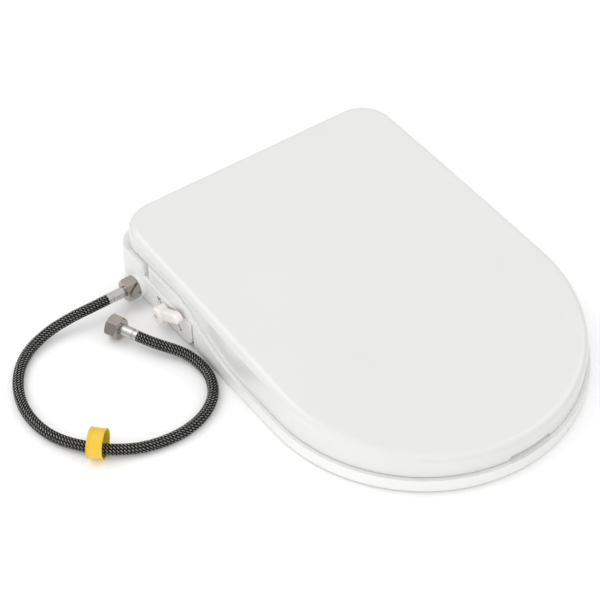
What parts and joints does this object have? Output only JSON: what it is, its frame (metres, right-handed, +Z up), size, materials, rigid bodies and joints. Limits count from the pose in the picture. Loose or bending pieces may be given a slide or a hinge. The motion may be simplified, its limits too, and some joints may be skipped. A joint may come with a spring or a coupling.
{
  "type": "bidet seat",
  "caption": "D-shaped bidet toilet seat with full-cover lid, slim rear housing, side lever knob, wash nozzles and a braided supply hose.",
  "frame": {"origin": "midway between the two mounting bolts, on the plane that the seat rests on", "axes": "+Z up, front of the seat faces -Y, +X to the left of a person sitting on it"},
  "size_m": [0.5706, 0.5013, 0.0795],
  "materials": {
    "lid_plastic": "glossy moulded white",
    "seat_plastic": "glossy moulded white",
    "housing_plastic": "satin moulded white",
    "mount_plastic": "light grey glass-filled plastic",
    "nozzle_plastic": "smooth pale plastic",
    "fitting_plastic": "white plastic",
    "knob_plastic": "warm white plastic",
    "dark_plastic": "dark grey plastic",
    "clear_rubber": "translucent silicone",
    "grey_rubber": "grey rubber",
    "black_rubber": "black rubber",
    "steel": "plain steel",
    "nickel": "brushed nickel plate",
    "braid": "black sleeve with a steel braid",
    "yellow_band": "yellow plastic"
  },
  "bodies": {
    "base": {"upper_cover": "housing_plastic", "lower_base": "housing_plastic", "base_feet": "grey_rubber", "mounting_plate": "mount_plastic", "cover_screws": "steel", "lid_damper": "dark_plastic", "seat_damper": "dark_plastic", "release_spring": "steel", "nozzle_holder": "dark_plastic", "holder_screws": "steel", "rear_nozzle_spring": "steel", "front_nozzle_spring": "steel", "nozzle_guard": "housing_plastic", "inlet_fitting": "fitting_plastic", "inlet_filter": "steel", "inlet_locknut": "fitting_plastic", "valve_body": "dark_plastic", "valve_screws": "steel", "stem_seal": "black_rubber", "inlet_tube": "clear_rubber", "rear_wash_tube": "clear_rubber", "front_wash_tube": "clear_rubber", "hose_nut_inlet": "nickel", "hose_ferrule_inlet": "nickel", "hose_washer_inlet": "black_rubber", "hose_ferrule_free": "nickel", "hose_washer_free": "black_rubber", "hose_band": "yellow_band", "hose": "braid"},
    "lid": {"lid_shell": "lid_plastic", "lid_bumpers": "clear_rubber", "lid_hinge_pin": "steel"},
    "seat": {"seat_ring": "seat_plastic", "seat_base": "seat_plastic", "seat_bumpers": "grey_rubber", "seat_hinge_pin": "steel"},
    "knob": {"control_knob": "knob_plastic", "knob_screw": "steel", "valve_stem": "knob_plastic"},
    "rear_nozzle": {"rear_wash_nozzle": "nozzle_plastic"},
    "front_nozzle": {"front_wash_nozzle": "nozzle_plastic"},
    "release": {"release_button": "housing_plastic", "release_latch": "mount_plastic"},
    "free_nut": {"hose_nut_free": "nickel"}
  },
  "joints": [
    {"name": "seat_hinge", "type": "hinge", "parent": "base", "child": "seat", "pos_m": [0, 0.049, 0.0665], "axis": [1, 0, 0], "range_deg": [-95, 0]},
    {"name": "lid_hinge", "type": "hinge", "parent": "seat", "child": "lid", "pos_m": [0, 0.049, 0.0665], "axis": [-1, 0, 0], "range_deg": [0, 105]},
    {"name": "knob_turn", "type": "hinge", "parent": "base", "child": "knob", "pos_m": [-0.1855, -0.048, 0.0195], "axis": [1, 0, 0], "range_deg": [-90, 40]},
    {"name": "rear_nozzle_slide", "type": "slide", "parent": "base", "child": "rear_nozzle", "axis": [0, -0.9613, -0.2756], "range_m": [0, 0.034], "stiffness_N_per_m": 40, "springref_m": -0.02, "deforming": ["rear_nozzle_spring"]},
    {"name": "front_nozzle_slide", "type": "slide", "parent": "base", "child": "front_nozzle", "axis": [0, -0.9613, -0.2756], "range_m": [0, 0.034], "stiffness_N_per_m": 40, "springref_m": -0.02, "deforming": ["front_nozzle_spring"]},
    {"name": "release_press", "type": "slide", "parent": "base", "child": "release", "axis": [-1, 0, 0], "range_m": [0, 0.005], "stiffness_N_per_m": 600, "springref_m": -0.002, "deforming": ["release_spring"]},
    {"name": "free_nut_spin", "type": "hinge", "parent": "base", "child": "free_nut", "pos_m": [-0.2432, -0.0235, 0.01401], "axis": [0.4, -0.9165, 0], "continuous": true}
  ]
}
